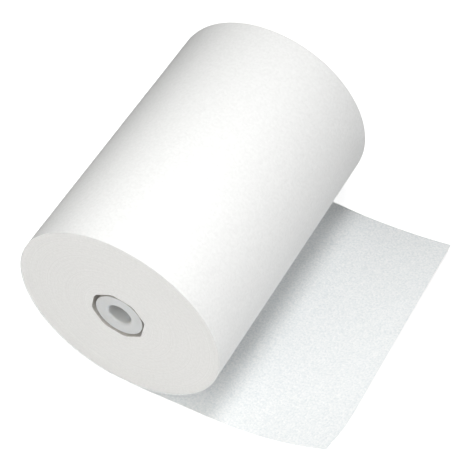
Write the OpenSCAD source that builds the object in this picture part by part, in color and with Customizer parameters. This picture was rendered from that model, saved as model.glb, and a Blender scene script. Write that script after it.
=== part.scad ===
/* [Roll] */
// Width of the paper web, along the roll's axis
roll_width = 112; // [70:1:150]
// Diameter over the outermost turn
roll_d = 80; // [64:1:100]
// How far the underside has settled flat under the roll's own weight
settle = 0.2; // [0.15:0.05:0.4]
// Thickness of the paper
paper_t = 0.1; // [0.08:0.01:0.2]

/* [Turns] */
// Bands of turns that can be told apart on the end faces
turn_bands = 18; // [6:1:22]
// How far a band may have slipped sideways from the roll's middle
band_slip = 0.12; // [0.02:0.02:0.4]
// How far the outermost turn has walked towards the front
last_turn_walk = 0.4; // [0:0.1:1]

/* [Core] */
// Diameter over the core
core_d = 18.6; // [16:0.2:26]
// Diameter of the bore that takes the spindle
bore_d = 9; // [6:0.5:12]
// Distance from the paper's edge back to each end of the core
core_recess = 0.15; // [0.05:0.05:2]
// Rounding of the bore's mouth
mouth_round = 0.9; // [0.4:0.1:1.5]
// Rounding of the core's outer edge
edge_round = 0.1; // [0.05:0.05:1]

/* [Mouths of the hole in the paper] */
// Sides that the innermost turns have taken at each end of the hole
mouth_sides = 8; // [5:1:12]
// How far the middle of each side stands off the core
side_gap = 1; // [0.85:0.05:1.1]
// How far the one side that is pressed in stands off the core
pressed_gap = 0.65; // [0.6:0.05:0.8]
// How far the corners between the sides stand off the core
corner_gap = 1.45; // [1.2:0.05:1.6]
// How far the mouths have sagged below the core's middle
mouth_drop = 0.3; // [0:0.05:0.4]
// How far the mouths have shifted to the left of the core's middle
mouth_aside = 0.3; // [0:0.05:0.3]
// How deep the mouth goes before the paper grips the core
mouth_depth = 6; // [2:0.5:20]
// Turn of the mouth's corners about the roll's axis
mouth_turn = 12.5; // [0:0.5:45]

/* [Loose end] */
// Reach of the loose end from the roll's axis to its cut edge
tail_reach = 82.3; // [70:0.1:120]
// Skew of the cut edge, in degrees
cut_skew = 2; // [-5:0.5:5]
// How far the front corner is torn back from the line of the cut
tear_back = 2.4; // [0:0.1:5]
// Length of the torn stretch along the cut edge
tear_length = 18; // [8:1:30]
// Angle at which the front edge lifts off the surface under the roll
front_rise = 5; // [0:0.5:6]
// Distance from the roll's axis to where the front edge starts to curl
front_curl_start = 39; // [30:0.5:50]
// Radius of the curl along the front edge
front_curl_r = 77; // [60:1:200]
// Distance from the roll's axis to where the rear edge starts to curl
rear_curl_start = 37.5; // [30:0.5:50]
// Radius of the curl along the rear edge
rear_curl_r = 179; // [100:1:400]

/* [Hidden] */
$fn = 96;

roll_r = roll_d / 2;
floor_z = settle - roll_r;
flat_half = sqrt(roll_r * roll_r - floor_z * floor_z);

core_r = core_d / 2;
core_length = roll_width - 2 * core_recess;
bore_r = bore_d / 2;

side_r = core_r + side_gap;
pressed_r = core_r + pressed_gap;
corner_r = core_r + corner_gap;

// The first band starts inside the hole, which is cut through it afterwards, and ends clear of the mouths
band_start_r = core_r / 2;
mouth_reach = corner_r + mouth_drop + mouth_aside;
band_t = (roll_r - mouth_reach) / turn_bands;

// Two waves set how far each band has slipped, and these are the degrees they advance a band
slow_wave = 80;
quick_wave = 193;

// The loose end is bent in this many steps from the roll to the cut edge, and from front to rear
steps_along = 22;
steps_across = 16;

// How far band i lies from the roll's middle: the bands slip to and fro, and the last one has walked
function band_shift(i) =
    i == turn_bands - 1
    ? -last_turn_walk
    : band_slip * (sin(slow_wave * i) + sin(quick_wave * i)) / 2;

// Inner radius of band i
function band_r(i) = i == 0 ? band_start_r : mouth_reach + band_t * i;

// Height that a parabola of radius r has gained at x, from its start on
function curl(x, start, r) = pow(max(0, x - start), 2) / (2 * r);

// Height of the loose end above the surface under it, v = 0 at its front edge and 1 at its rear
function lift(x, v) =
    (1 - v) * (tan(front_rise) * max(0, x - flat_half) + curl(x, front_curl_start, front_curl_r))
    + v * curl(x, rear_curl_start, rear_curl_r);

// Part of the torn stretch already passed at y, 0 where the straight cut ends
function tear(y) = max(0, 1 - (y + roll_width / 2) / tear_length);

// Distance from the roll's axis to the cut edge at y
function cut_x(y) = tail_reach - tan(cut_skew) * y - tear_back * pow(tear(y), 2);

// The first step ends at the edge of the roll's flat underside, and the others share out the rest
function step_x(i, y) =
    i == 0
    ? 0
    : flat_half + (cut_x(y) - flat_half) * (i - 1) / (steps_along - 1);

// Point i, j of the loose end, raised by the given thickness
function tail_point(i, j, thickness) =
    let (v = j / steps_across)
    let (y = roll_width * (v - 0.5))
    let (x = step_x(i, y))
    [x, y - last_turn_walk, floor_z + lift(x, v) + thickness];

// Number of point i, j in the lower sheet of points
function low(i, j) = i * (steps_across + 1) + j;

// Number of point i, j in the upper sheet of points
function high(i, j) = (steps_along + 1) * (steps_across + 1) + low(i, j);

// One tube of paper per band, all of the same width, each shifted along the axis
module wound_turns() {
    last = turn_bands - 1;
    front = [
        for (i = [0:last])
            for (r = [band_r(i), band_r(i + 1)])
                [r, band_shift(i) - roll_width / 2]
    ];
    rear = [
        for (i = [last:-1:0])
            for (r = [band_r(i + 1), band_r(i)])
                [r, band_shift(i) + roll_width / 2]
    ];
    rotate([-90, 0, 0])
        rotate_extrude()
            polygon(concat(front, rear));
}

// The hole: round where it grips the core, with a slacker many-sided mouth at each end
module core_hole() {
    rotate([90, 0, 0])
        linear_extrude(2 * roll_width, center = true)
            circle(core_r);
    for (end = [-1, 1])
        translate([-mouth_aside, end * roll_width / 2, -mouth_drop])
            rotate([90, 0, 0])
                linear_extrude(2 * mouth_depth, center = true)
                    mouth_outline();
}

// Outline of the hole's mouth: flat sides between rounded corners, with the right-hand side pressed in
module mouth_outline() {
    half_side = 180 / mouth_sides;
    intersection() {
        circle(corner_r);
        rotate(mouth_turn)
            circle(side_r / cos(half_side), $fn = mouth_sides);
        rotate(mouth_turn - half_side)
            translate([pressed_r - 2 * corner_r, -corner_r])
                square(2 * corner_r);
    }
}

// The sliver under the roll that its own weight has pressed flat
module flat_underside() {
    translate([-2 * flat_half, -roll_width, floor_z - roll_r])
        cube([4 * flat_half, 2 * roll_width, roll_r]);
}

// The end of the outermost turn, lying out on the surface with its front corner curled up
module loose_end() {
    points = concat(
        [for (i = [0:steps_along]) for (j = [0:steps_across]) tail_point(i, j, 0)],
        [for (i = [0:steps_along]) for (j = [0:steps_across]) tail_point(i, j, paper_t)]
    );
    sheets = [
        for (i = [0:steps_along - 1])
            for (j = [0:steps_across - 1])
                each [
                    [low(i, j), low(i + 1, j), low(i + 1, j + 1)],
                    [low(i, j), low(i + 1, j + 1), low(i, j + 1)],
                    [high(i, j), high(i + 1, j + 1), high(i + 1, j)],
                    [high(i, j), high(i, j + 1), high(i + 1, j + 1)]
                ]
    ];
    side_edges = [
        for (i = [0:steps_along - 1])
            each [
                [low(i, 0), high(i, 0), high(i + 1, 0)],
                [low(i, 0), high(i + 1, 0), low(i + 1, 0)],
                [low(i, steps_across), high(i + 1, steps_across), high(i, steps_across)],
                [low(i, steps_across), low(i + 1, steps_across), high(i + 1, steps_across)]
            ]
    ];
    end_edges = [
        for (j = [0:steps_across - 1])
            each [
                [low(0, j), high(0, j + 1), high(0, j)],
                [low(0, j), low(0, j + 1), high(0, j + 1)],
                [low(steps_along, j), high(steps_along, j), high(steps_along, j + 1)],
                [low(steps_along, j), high(steps_along, j + 1), low(steps_along, j + 1)]
            ]
    ];
    polyhedron(points, concat(sheets, side_edges, end_edges));
}

// The whole web of paper, wound and loose, in one piece
module paper_roll() {
    color("white")
        difference() {
            union() {
                wound_turns();
                loose_end();
            }
            core_hole();
            flat_underside();
        }
}

// Half section of the core, with its round-edged mouths
module core_section() {
    wall = core_r - bore_r;
    union() {
        translate([bore_r, mouth_round - core_length / 2])
            square([mouth_round, core_length - 2 * mouth_round]);
        translate([bore_r + mouth_round, -core_length / 2])
            square([wall - mouth_round - edge_round, core_length]);
        translate([core_r - edge_round, edge_round - core_length / 2])
            square([edge_round, core_length - 2 * edge_round]);
        for (end = [-1, 1]) {
            translate([bore_r + mouth_round, end * (core_length / 2 - mouth_round)])
                circle(mouth_round);
            translate([core_r - edge_round, end * (core_length / 2 - edge_round)])
                circle(edge_round);
        }
    }
}

// The plastic tube that the paper is wound on
module core() {
    color("gainsboro")
        rotate([90, 0, 0])
            rotate_extrude()
                core_section();
}

paper_roll();
core();
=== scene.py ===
import math

import bmesh
import bpy
from mathutils import Matrix, Vector


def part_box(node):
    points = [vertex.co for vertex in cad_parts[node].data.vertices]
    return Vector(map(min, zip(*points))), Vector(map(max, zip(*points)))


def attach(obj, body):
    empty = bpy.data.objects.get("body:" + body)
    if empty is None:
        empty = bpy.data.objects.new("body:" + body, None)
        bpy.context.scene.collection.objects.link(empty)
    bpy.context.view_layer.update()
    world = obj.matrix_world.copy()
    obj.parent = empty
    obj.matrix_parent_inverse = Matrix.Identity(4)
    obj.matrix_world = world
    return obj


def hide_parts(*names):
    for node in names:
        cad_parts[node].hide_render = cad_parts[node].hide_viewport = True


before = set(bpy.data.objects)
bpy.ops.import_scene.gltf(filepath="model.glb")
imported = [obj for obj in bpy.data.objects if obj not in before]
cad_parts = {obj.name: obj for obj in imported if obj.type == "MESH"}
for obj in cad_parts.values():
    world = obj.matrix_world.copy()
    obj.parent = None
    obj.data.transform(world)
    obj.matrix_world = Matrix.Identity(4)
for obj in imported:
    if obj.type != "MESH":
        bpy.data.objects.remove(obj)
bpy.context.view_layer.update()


# The wound paper
# One web of bleached printing paper, wound tight on the core. Its cut edges make the end faces, where
# the turns show as a fine spiral, because each has slipped a little to one side or the other.

MM = 0.001
web_width = 112 * MM
web_t = 0.1 * MM
last_turn_walk = 0.4 * MM

paper_low, paper_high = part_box("paper_roll")
core_low, core_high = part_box("core")
roll_r = -paper_low.x
floor_z = paper_low.z
core_r = core_high.x

# At each end of the hole the innermost turns stand off the core in eight soft sides, and have sagged
mouth_sides = 8
mouth_turn = math.radians(12.5)
side_r = core_r + 1.0 * MM
pressed_r = core_r + 0.65 * MM
corner_r = core_r + 1.45 * MM
mouth_drop = 0.3 * MM
mouth_aside = 0.3 * MM
mouth_depth = 6 * MM
mouth_fade = 3 * MM

# Turns that can be told apart go round in bundles of this thickness
bundles = 40
around_steps = 256
slip = 0.02 * MM
packed_r = roll_r - 1.5 * web_t
bundle_t = (packed_r - core_r) / bundles


def mouth_radius(angle):
    """Distance from the mouth's middle to its edge: flat sides, rounded corners, and one side pressed in."""
    side = 2 * math.pi / mouth_sides
    off = (angle - mouth_turn) % side - side / 2
    pressed = max(0.5, math.cos(angle - mouth_turn + side / 2))
    return min(side_r / math.cos(off), pressed_r / pressed, corner_r)


def bundle_slip(turn):
    """How far the paper lies to the rear after so many bundles, as the winding wandered."""
    return slip * (0.5 * math.sin(0.9 * turn) + 0.3 * math.sin(2.3 * turn + 1) + 0.2 * math.sin(5.1 * turn))


def wrap_bundle(vert, end_rows):
    """Moves a point of the flat grid to its place on the wound roll.

    x is how far round it lies. y is which row it is in: the edges of the bundles at the front end from
    the hole outwards, those at the rear end from the outside inwards, and two rows that grip the core.
    """
    turned = vert.co.x + 0.5
    angle = 2 * math.pi * turned
    rows = 2 * end_rows + 2
    row = round((vert.co.y + 0.5) * rows) % rows
    if row >= 2 * end_rows:
        radius = core_r
        slack = 0
        y = web_width / 2 - mouth_depth
        y = y if row == 2 * end_rows else -y
    else:
        step = row if row < end_rows else 2 * end_rows - 1 - row
        bundle = step // 2 - 1
        edge = bundle + step % 2
        radius = min(max(core_r + bundle_t * (edge + turned), core_r), packed_r)
        slack = math.exp((core_r - radius) / mouth_fade)
        radius += (mouth_radius(angle) - core_r) * slack
        y = bundle_slip(bundle + turned) + (-web_width / 2 if row < end_rows else web_width / 2)
    x = radius * math.cos(angle) - mouth_aside * slack
    z = radius * math.sin(angle) - mouth_drop * slack
    vert.co = Vector((x, y, max(z, floor_z + web_t)))


def new_piece(name, mesh_data, sharp_angle=math.radians(30)):
    """Makes an object of a finished bmesh, with its sharp edges kept sharp and the rest shaded smooth."""
    for edge in mesh_data.edges:
        edge.smooth = edge.is_manifold and edge.calc_face_angle() < sharp_angle
    for face in mesh_data.faces:
        face.smooth = True
    mesh = bpy.data.meshes.new(name)
    mesh_data.to_mesh(mesh)
    mesh_data.free()
    piece = bpy.data.objects.new(name, mesh)
    bpy.context.scene.collection.objects.link(piece)
    return piece


end_rows = 2 * (bundles + 1)
bm = bmesh.new()
bmesh.ops.create_grid(bm, x_segments=around_steps, y_segments=2 * end_rows + 2, size=0.5)
for v in bm.verts:
    wrap_bundle(v, end_rows)
bmesh.ops.remove_doubles(bm, verts=bm.verts, dist=0.002 * MM)
bmesh.ops.dissolve_degenerate(bm, edges=bm.edges, dist=0.001 * MM)
bmesh.ops.recalc_face_normals(bm, faces=bm.faces)
# The faces of the hole's wall take the second material, the painted shade of the gap round the core
gap_shade_slot = 1
grip_y = web_width / 2 - mouth_depth + web_t
for f in bm.faces:
    if any(abs(v.co.y) < grip_y for v in f.verts):
        f.material_index = gap_shade_slot
wound_paper = new_piece("wound_paper", bm)


def linear(hex_colour):
    """The linear colour of an sRGB hex value, with full alpha."""
    channels = [int(hex_colour[i:i + 2], 16) / 255 for i in (1, 3, 5)]
    return [c / 12.92 if c <= 0.04045 else ((c + 0.055) / 1.055) ** 2.4 for c in channels] + [1]


def add_node(tree, kind, inputs=None, **settings):
    """Adds a node, sets its attributes, and fills its inputs with values or links from other sockets."""
    node = tree.nodes.new(kind)
    for key, value in settings.items():
        setattr(node, key, value)
    for key, value in (inputs or {}).items():
        if isinstance(value, bpy.types.NodeSocket):
            tree.links.new(value, node.inputs[key])
        else:
            node.inputs[key].default_value = value
    return node


def new_material(name, ior, roughness):
    """An empty material with a Principled shader: returns the material, its tree and the shader."""
    material = bpy.data.materials.new(name)
    material.use_nodes = True
    tree = material.node_tree
    shader = tree.nodes["Principled BSDF"]
    shader.inputs["IOR"].default_value = ior
    shader.inputs["Roughness"].default_value = roughness
    return material, tree, shader


# Bleached printing paper, calendered on its coated side: white, matte with a faint soft sheen. Pulp
# fibres clot into a cloudy mottle half a millimetre across, and single fibres leave a finer tooth.
pulp_clot = 0.5 * MM
fibre_tooth = 0.35 * MM


def paper_nodes(tree, shader, light, dark, clot, tooth_height):
    """Wires a paper's mottle to its colour and its tooth to its bump.

    Returns the place on the paper, the mottle and the bump.
    """
    place = add_node(tree, "ShaderNodeTexCoord").outputs["Object"]
    clots = add_node(tree, "ShaderNodeTexNoise", {
        "Vector": place, "Scale": 1 / (2 * clot), "Detail": 4.0, "Roughness": 0.65})
    spread = add_node(tree, "ShaderNodeMapRange", {"Value": clots.outputs["Fac"], 1: 0.3, 2: 0.7})
    mottle = add_node(tree, "ShaderNodeMix", {
        "Factor": spread.outputs["Result"], 6: linear(dark), 7: linear(light)}, data_type="RGBA")
    tooth = add_node(tree, "ShaderNodeTexNoise", {
        "Vector": place, "Scale": 1 / (2 * fibre_tooth), "Detail": 3.0, "Roughness": 0.6})
    bump = add_node(tree, "ShaderNodeBump", {
        "Height": tooth.outputs["Fac"], "Distance": tooth_height, "Strength": 0.6})
    tree.links.new(mottle.outputs[2], shader.inputs["Base Color"])
    tree.links.new(bump.outputs["Normal"], shader.inputs["Normal"])
    return place, mottle, bump


calendered_paper, tree, shader = new_material("calendered_paper", 1.5, 0.62)
paper_nodes(tree, shader, "#F8F8F8", "#EEEEEE", pulp_clot, 0.03 * MM)

# The same paper seen on its slit edges: a touch darker and rougher, because light sinks between the
# turns, with a spiral of faint lines. Single turns are too fine to show, so each line is four turns.
slit_edges, tree, shader = new_material("slit_paper_edges", 1.5, 0.8)
line_pitch = 4 * web_t
place, mottle, bump = paper_nodes(tree, shader, "#F3F2F1", "#E9E8E7", pulp_clot, 0.03 * MM)
across = add_node(tree, "ShaderNodeVectorMath", {0: place, 1: (1, 0, 1)}, operation="MULTIPLY")
radius = add_node(tree, "ShaderNodeVectorMath", {0: across.outputs["Vector"]}, operation="LENGTH")
lines = add_node(tree, "ShaderNodeTexNoise", {
    "W": radius.outputs["Value"], "Scale": 1 / line_pitch, "Detail": 2.0}, noise_dimensions="1D")
line_depth = add_node(tree, "ShaderNodeMapRange", {
    "Value": lines.outputs["Fac"], 1: 0.35, 2: 0.7, 3: 0.0, 4: 0.35})
lined = add_node(tree, "ShaderNodeMix", {
    "Factor": line_depth.outputs["Result"], 6: mottle.outputs[2], 7: linear("#DFDEDC")}, data_type="RGBA")
tree.links.new(lined.outputs[2], shader.inputs["Base Color"])
line_bump = add_node(tree, "ShaderNodeBump", {
    "Height": lines.outputs["Fac"], "Distance": 0.02 * MM, "Strength": 0.5,
    "Normal": bump.outputs["Normal"]})
tree.links.new(line_bump.outputs["Normal"], shader.inputs["Normal"])

# Painted shade: the wall of the hole and the outside of the core face each other across a narrow gap. Both
# get a dull brownish grey paper colour that stands in for the shade that falls in that gap.
painted_gap_shade, tree, shader = new_material("painted_gap_shade", 1.5, 0.7)
paper_nodes(tree, shader, "#C7C4C0", "#B4B1AD", pulp_clot, 0.03 * MM)

wound_paper.data.materials.append(slit_edges)
wound_paper.data.materials.append(painted_gap_shade)
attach(wound_paper, "root")


# The outermost turn and its loose end
# The same web's last turn, lying over the others, leaves the roll underneath and runs out on the
# table. The paper keeps some of its curl, so the front corner stands up, and it was torn off there.

flat_half = math.sqrt(roll_r ** 2 - floor_z ** 2)
tail_reach = 82.3 * MM
cut_skew = math.tan(math.radians(2))
tear_back = 2.4 * MM
tear_length = 18 * MM
front_rise = math.tan(math.radians(5))
front_curl_start, front_curl_r = 39 * MM, 77 * MM
rear_curl_start, rear_curl_r = 37.5 * MM, 179 * MM
turn_steps = 240
loose_steps = 72
width_steps = 56
torn_steps = 30


def curl(x, start, r):
    """Height gained along a curl of that radius, from where it starts."""
    return max(0, x - start) ** 2 / (2 * r)


def lift(x, v):
    """Height of the loose end over the table: v is 0 at the front edge and 1 at the rear edge."""
    front = front_rise * max(0, x - flat_half) + curl(x, front_curl_start, front_curl_r)
    return (1 - v) * front + v * curl(x, rear_curl_start, rear_curl_r)


def across_web(step):
    """Share of the web's width at a step across it: the steps are finest along the torn stretch."""
    torn = tear_length / web_width
    if step < torn_steps:
        return torn * step / torn_steps
    return torn + (1 - torn) * (step - torn_steps) / (width_steps - torn_steps)


def cut_x(y):
    """Where the web ends at y: a straight cut, and a torn stretch with a slightly ragged edge."""
    torn = max(0, 1 - (y + web_width / 2) / tear_length)
    ragged = math.sin(y / (0.9 * MM)) + 0.6 * math.sin(y / (0.37 * MM) + 1)
    return tail_reach - cut_skew * y - tear_back * torn ** 2 + 0.12 * MM * ragged * min(1, 3 * torn)


def lay_web(vert):
    """Moves a point of the flat grid to its place on the last turn or the loose end."""
    step = round((vert.co.x + 0.5) * (turn_steps + loose_steps))
    v = across_web(round((vert.co.y + 0.5) * width_steps))
    y = web_width * (v - 0.5)
    if step < turn_steps:
        back = 1 - step / turn_steps
        radius = roll_r - web_t * back
        angle = -math.pi / 2 - 2 * math.pi * back
        x = radius * math.cos(angle)
        z = max(radius * math.sin(angle), floor_z + web_t * back)
    else:
        x = cut_x(y) * (step - turn_steps) / loose_steps
        z = floor_z + lift(x, v)
    vert.co = Vector((x, y - last_turn_walk, z))


# The inner side of the web, which faces up on the loose end, isn't coated: its bare fibres are a cooler
# white with a finer and stronger mottle.
bare_clot = 0.38 * MM
uncoated_paper, tree, shader = new_material("uncoated_paper", 1.5, 0.8)
paper_nodes(tree, shader, "#FFFFFF", "#E2E7EA", bare_clot, 0.04 * MM)

bm = bmesh.new()
bmesh.ops.create_grid(bm, x_segments=turn_steps + loose_steps, y_segments=width_steps, size=0.5)
for v in bm.verts:
    lay_web(v)
bmesh.ops.recalc_face_normals(bm, faces=bm.faces)
last_turn = new_piece("last_turn_and_loose_end", bm, math.radians(60))
thickness = last_turn.modifiers.new("paper_thickness", "SOLIDIFY")
thickness.thickness = web_t
thickness.offset = -1
thickness.material_offset = 1
last_turn.data.materials.append(calendered_paper)
last_turn.data.materials.append(uncoated_paper)
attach(last_turn, "root")
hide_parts("paper_roll")
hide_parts("paper_roll")


# The core
# A moulded tube of milky white plastic that the paper is wound on. It lies a little behind the
# paper's edge at each end, and its mouths are rounded where a spindle slides in.

core_end = core_high.y
bore_r = 4.5 * MM
mouth_round = 0.9 * MM
edge_round = 0.1 * MM
core_steps = 96

bm = bmesh.new()
section = [bm.verts.new((x, y, 0)) for x, y in (
    (bore_r, -core_end), (core_r, -core_end), (core_r, core_end), (bore_r, core_end))]
loop = [bm.edges.new((section[i], section[(i + 1) % 4])) for i in range(4)]
bmesh.ops.spin(bm, geom=section + loop, cent=(0, 0, 0), axis=(0, 1, 0), steps=core_steps,
               angle=2 * math.pi, use_merge=True)


def round_edges(mesh_data, radius, width, segments):
    """Rounds the ring edges that lie at that radius at both ends."""
    rings = [e for e in mesh_data.edges if all(
        abs(math.hypot(v.co.x, v.co.z) - radius) < 0.01 * MM for v in e.verts)
        and abs(e.verts[0].co.y - e.verts[1].co.y) < 0.01 * MM]
    bmesh.ops.bevel(mesh_data, geom=rings, offset=width, offset_type="OFFSET", segments=segments,
                    profile=0.5, affect="EDGES", material=-1)


round_edges(bm, bore_r, mouth_round, 8)
round_edges(bm, core_r, edge_round, 4)
bmesh.ops.remove_doubles(bm, verts=bm.verts, dist=0.002 * MM)
bmesh.ops.recalc_face_normals(bm, faces=bm.faces)
# The core's outside takes the same painted shade of the gap
for f in bm.faces:
    if all(math.hypot(v.co.x, v.co.z) > core_r - 0.01 * MM for v in f.verts):
        f.material_index = gap_shade_slot
core = new_piece("moulded_core", bm)

# Natural polypropylene, injection moulded: a milky light grey, half matt, and light goes a few
# millimetres into it.
natural_pp, tree, shader = new_material("natural_polypropylene", 1.49, 0.35)
shader.inputs["Subsurface Weight"].default_value = 0.6
shader.inputs["Subsurface Radius"].default_value = (1.0, 0.9, 0.8)
shader.inputs["Subsurface Scale"].default_value = 3.5 * MM
place = add_node(tree, "ShaderNodeTexCoord").outputs["Object"]
flow = add_node(tree, "ShaderNodeTexNoise", {"Vector": place, "Scale": 1 / (6 * MM), "Detail": 2.0})
tint = add_node(tree, "ShaderNodeMix", {
    "Factor": flow.outputs["Fac"], 6: linear("#CFD0D1"), 7: linear("#D6D7D8")}, data_type="RGBA")
tree.links.new(tint.outputs[2], shader.inputs["Base Color"])
grain = add_node(tree, "ShaderNodeTexNoise", {"Vector": place, "Scale": 1 / (0.5 * MM), "Detail": 2.0})
bump = add_node(tree, "ShaderNodeBump", {
    "Height": grain.outputs["Fac"], "Distance": 0.01 * MM, "Strength": 0.4})
tree.links.new(bump.outputs["Normal"], shader.inputs["Normal"])
core.data.materials.append(natural_pp)
core.data.materials.append(painted_gap_shade)
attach(core, "root")
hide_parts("core")


# The table
# A broad matt white board under the roll, and the same white all round. The camera sees it as plain
# white, apart from the roll's faint shadow, which fades out 20 to 45 cm away.

table_size = 3.0
shadow_reach, white_from = 0.2, 0.45
near_glow = 0.72
bm = bmesh.new()
bmesh.ops.create_grid(bm, x_segments=1, y_segments=1, size=table_size / 2)
bmesh.ops.translate(bm, verts=bm.verts, vec=(0, 0, floor_z - 0.02 * MM))
table = new_piece("table", bm)
white_board, tree, shader = new_material("matt_white_board", 1.5, 1.0)
shader.inputs["Base Color"].default_value = linear("#F0F0F0")
place = add_node(tree, "ShaderNodeTexCoord").outputs["Object"]
away = add_node(tree, "ShaderNodeVectorMath", {0: place}, operation="LENGTH")
whiter = add_node(tree, "ShaderNodeMapRange", {
    "Value": away.outputs["Value"], 1: shadow_reach, 2: white_from, 3: near_glow, 4: 1.0})
seen = add_node(tree, "ShaderNodeLightPath")
glow = add_node(tree, "ShaderNodeMapRange", {
    "Value": seen.outputs["Is Camera Ray"], 3: 0.0, 4: whiter.outputs["Result"]})
shader.inputs["Emission Color"].default_value = linear("#FFFFFF")
tree.links.new(glow.outputs["Result"], shader.inputs["Emission Strength"])
table.data.materials.append(white_board)

world = bpy.data.worlds.new("studio")
bpy.context.scene.world = world
world.use_nodes = True
tree = world.node_tree
seen = add_node(tree, "ShaderNodeLightPath")
bright = add_node(tree, "ShaderNodeMix", {
    "Factor": seen.outputs["Is Camera Ray"], 2: 0.02, 3: 1.0})
hue = add_node(tree, "ShaderNodeMix", {
    "Factor": seen.outputs["Is Camera Ray"], 6: linear("#C8DCFF"), 7: linear("#FFFFFF")},
    data_type="RGBA")
sky = tree.nodes["Background"]
tree.links.new(hue.outputs[2], sky.inputs["Color"])
tree.links.new(bright.outputs[0], sky.inputs["Strength"])


# The lamps
# A small lamp close overhead and a broad soft one in front, weak ones from the left and low in front,
# on the right and behind, and a trace of blue light all round.


def direction(azimuth, elevation):
    """Unit vector away from the roll, in degrees: azimuth 0 is in front of the roll and 90 on its right."""
    a, e = math.radians(azimuth), math.radians(elevation)
    return Vector((math.sin(a) * math.cos(e), -math.cos(a) * math.cos(e), math.sin(e)))


def softbox(name, azimuth, elevation, distance, size, watts, colour):
    """A round area lamp of that diameter in metres, which faces the roll from that side."""
    back = direction(azimuth, elevation)
    lamp = bpy.data.lights.new(name, "AREA")
    lamp.shape = "DISK"
    lamp.size = size
    lamp.energy = watts
    lamp.color = linear(colour)[:3]
    holder = bpy.data.objects.new(name, lamp)
    turn = (-back).to_track_quat("-Z", "Y").to_matrix().to_4x4()
    holder.matrix_world = Matrix.Translation(back * distance) @ turn
    bpy.context.scene.collection.objects.link(holder)


softbox("overhead", 70, 80, 0.33, 0.1, 0.555, "#FFFFFF")
softbox("from_the_front", 0, 50, 0.6, 0.8, 2.3, "#FFFFF7")
softbox("low_in_front", 0, 22, 0.35, 0.2, 0.19, "#F8F8FF")
softbox("low_on_the_right", 75, 5, 0.35, 0.2, 0.3, "#FFFFFF")
softbox("from_the_left", -80, 55, 0.6, 0.3, 0.27, "#FFFFFF")
softbox("behind", 176, -2.5, 0.5, 0.04, 0.65, "#FFFFFF")


# The camera
# It looks down on the front end from the right, as the photograph does, tilted by a few degrees.

sensor = 36.0
photo_px = 472
focal_px = 1687
azimuth, elevation = 26.53, 52.6
tilt = math.radians(2.67)
aim = Vector((15.0, 1.4, -10.1)) * MM
stand_off = 616.6 * MM

back = direction(azimuth, elevation)
level = direction(azimuth + 90, 0)
upright = back.cross(level)
right = math.cos(tilt) * level + math.sin(tilt) * upright
up = -math.sin(tilt) * level + math.cos(tilt) * upright
lens = bpy.data.cameras.new("camera")
lens.sensor_width = sensor
lens.lens = focal_px / photo_px * sensor
lens.clip_start, lens.clip_end = 0.01, 20
camera = bpy.data.objects.new("camera", lens)
turn = Matrix((right, up, back)).transposed().to_4x4()
camera.matrix_world = Matrix.Translation(aim + back * stand_off) @ turn
bpy.context.scene.collection.objects.link(camera)
bpy.context.scene.camera = camera
bpy.context.scene.view_settings.view_transform = "Standard"
